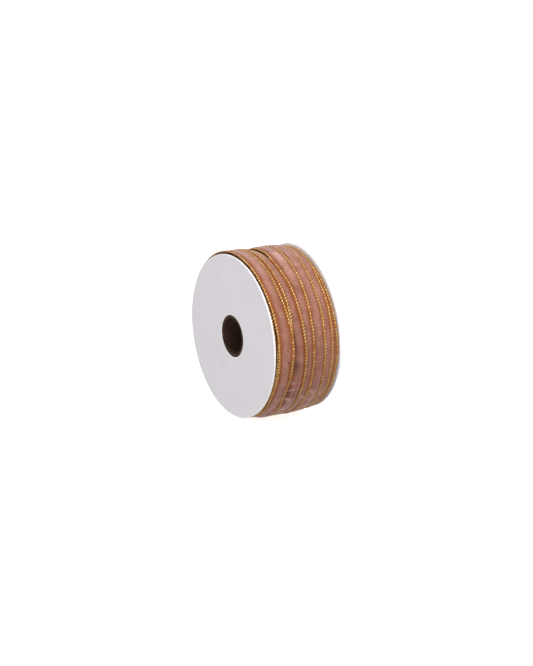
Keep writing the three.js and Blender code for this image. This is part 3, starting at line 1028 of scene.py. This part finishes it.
def floor():
    """A round white sweep: a flat floor that turns up into a wall, so that every side has a plain backdrop."""
    prof = [(0.0, 0.0), (1.0, 0.0), (2.5, 0.0), (4.0, 0.0)]
    prof += [(4.0 + 2.0 * math.sin(t), 2.0 - 2.0 * math.cos(t)) for t in np.linspace(0, math.pi / 2, 17)[1:]]
    prof += [(6.0, 5.0)]
    seg = 96
    a = np.linspace(0, 2 * np.pi, seg, endpoint=False)
    verts = [(0, 0, FLOOR_Z)] + [(r * math.cos(t), r * math.sin(t), FLOOR_Z + z) for r, z in prof[1:] for t in a]
    faces = [(0, 1 + i, 1 + (i + 1) % seg) for i in range(seg)]
    for k in range(len(prof) - 2):
        o0, o1 = 1 + k * seg, 1 + (k + 1) * seg
        faces += [(o0 + i, o1 + i, o1 + (i + 1) % seg, o0 + (i + 1) % seg) for i in range(seg)]
    me = bpy.data.meshes.new("floor")
    me.from_pydata(verts, [], faces)
    me.polygons.foreach_set("use_smooth", np.ones(len(faces), bool))
    o = bpy.data.objects.new("floor", me)
    bpy.context.scene.collection.objects.link(o)
    m = Nodes("pale_floor")
    geo = m.add("ShaderNodeTexCoord")
    n = m.noise(m.scaled(geo.outputs["Object"], (3, 3, 3)), 1.0, 2, 0.5)
    m.link(m.mix(m.ramp(n, 0.3, 0.7), (0.84, 0.84, 0.84, 1), (0.86, 0.86, 0.86, 1)), m.bsdf.inputs["Base Color"])
    m.bsdf.inputs["Roughness"].default_value = 0.95
    m.bsdf.inputs["Specular IOR Level"].default_value = 0.0
    m.bsdf.inputs["Emission Color"].default_value = (1, 1, 1, 1)
    m.bsdf.inputs["Emission Strength"].default_value = FLOOR_GLOW
    me.materials.append(m.mat)
    o.visible_diffuse = o.visible_glossy = o.visible_shadow = False   # it catches shadows and throws no glare
    o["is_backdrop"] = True
    return o


floor()


def area(name, target, direction, distance, size, watts, colour=(1, 1, 1)):
    light = bpy.data.lights.new(name, "AREA")
    light.shape = "RECTANGLE"
    light.size, light.size_y = size
    light.energy = watts
    light.color = colour
    o = bpy.data.objects.new(name, light)
    bpy.context.scene.collection.objects.link(o)
    o.visible_camera = False
    d = Vector(direction).normalized()
    o.location = Vector(target) + d * distance
    o.rotation_mode = "QUATERNION"
    o.rotation_quaternion = (-d).to_track_quat("-Z", "Y")
    return o


area("key", (0, 0, 0), (0.75, 0.10, 1.25), 1.1, (0.75, 0.55), 8.8, (1.0, 0.985, 0.97))
area("front_fill", (0, 0, 0), (0.25, -1.0, 0.45), 1.5, (1.2, 1.0), 5.28, (0.97, 0.985, 1.0))
area("side", (0, 0, 0), (1.2, 0.5, 0.35), 1.2, (0.5, 0.8), 1.6, (1.0, 0.98, 0.96))
area("low_fill", (0, 0, 0), (1.0, -0.45, -0.55), 1.3, (0.9, 0.6), 2.6, (0.99, 0.98, 1.0))
area("back_fill", (0, 0, 0), (-1.0, 0.6, 0.8), 1.5, (1.0, 1.0), 4.6)

world = bpy.data.worlds.new("studio")
bpy.context.scene.world = world
world.use_nodes = True
bg = world.node_tree.nodes["Background"]
bg.inputs[0].default_value = (0.96, 0.955, 1.0, 1)
bg.inputs[1].default_value = 0.58

bpy.context.scene.view_settings.view_transform = "Standard"

AZ, EL, DIST, FOCAL_PX = 59.57, 17.39, 51.08 * 0.05, 4240.0
W, HH = 533, 666
cam_data = bpy.data.cameras.new("photo_camera")
cam = bpy.data.objects.new("photo_camera", cam_data)
bpy.context.scene.collection.objects.link(cam)
cam_data.sensor_width = 36.0
cam_data.lens = FOCAL_PX / HH * 36.0
cam_data.shift_x = 0.67 / HH
cam_data.shift_y = -2.74 / HH
a_, e_ = math.radians(AZ), math.radians(EL)
back = Vector((math.sin(a_) * math.cos(e_), -math.cos(a_) * math.cos(e_), math.sin(e_)))
cam.location = back * DIST
cam.rotation_mode = "QUATERNION"
cam.rotation_quaternion = (-back).to_track_quat("-Z", "Y")
bpy.context.scene.camera = cam
